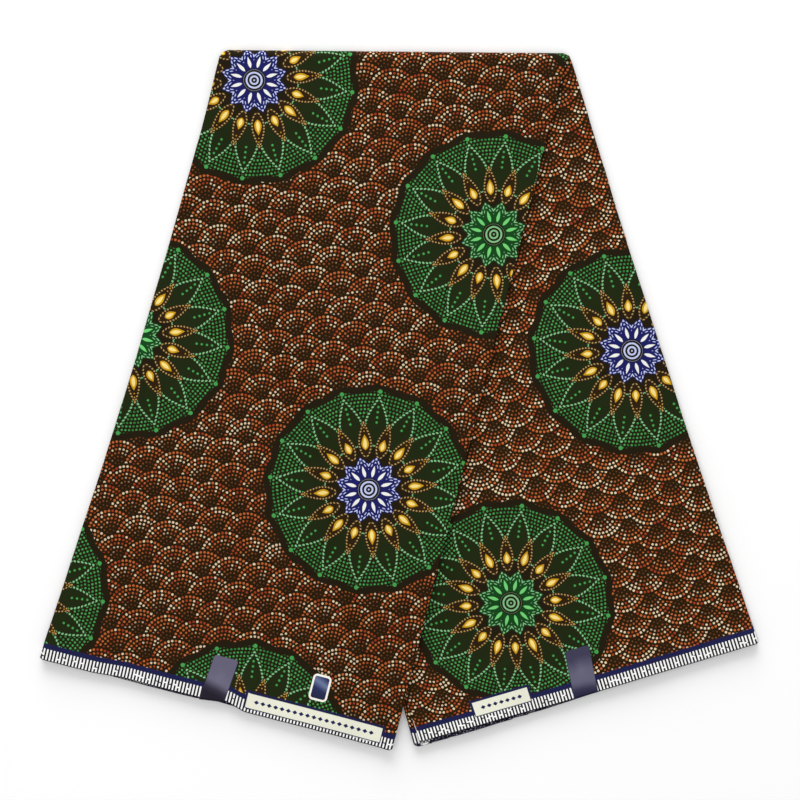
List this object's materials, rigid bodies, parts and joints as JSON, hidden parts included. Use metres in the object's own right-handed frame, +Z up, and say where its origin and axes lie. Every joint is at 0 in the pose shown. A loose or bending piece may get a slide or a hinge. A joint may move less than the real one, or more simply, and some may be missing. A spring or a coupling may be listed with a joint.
{
  "type": "folded length of wax print cotton fabric",
  "caption": "Length of wax print cotton, pleated into a strip and folded once across so that its two legs fan apart, lying flat, with wrap-round seller's labels.",
  "frame": {"origin": "on the surface that the bundle lies on, under the middle of its box", "axes": "+Z up; +Y towards the fold across the top; +X to the right, towards the leg that lies underneath"},
  "size_m": [0.612, 0.5948, 0.0123],
  "materials": {
    "print_cloth": "waxed cotton printed with round rosettes on a dotted brown ground",
    "ply_folds": "the same cotton, seen at its folds and cut ends",
    "label_film": "glossy plain paper-backed film",
    "sticker_film": "glossy plain film with a pale rim"
  },
  "bodies": {
    "root": {"outer_ply": "print_cloth", "inner_ply": "print_cloth", "hidden_plies": "ply_folds", "label_left": "label_film", "label_right": "label_film", "sticker": "sticker_film"}
  },
  "joints": []
}
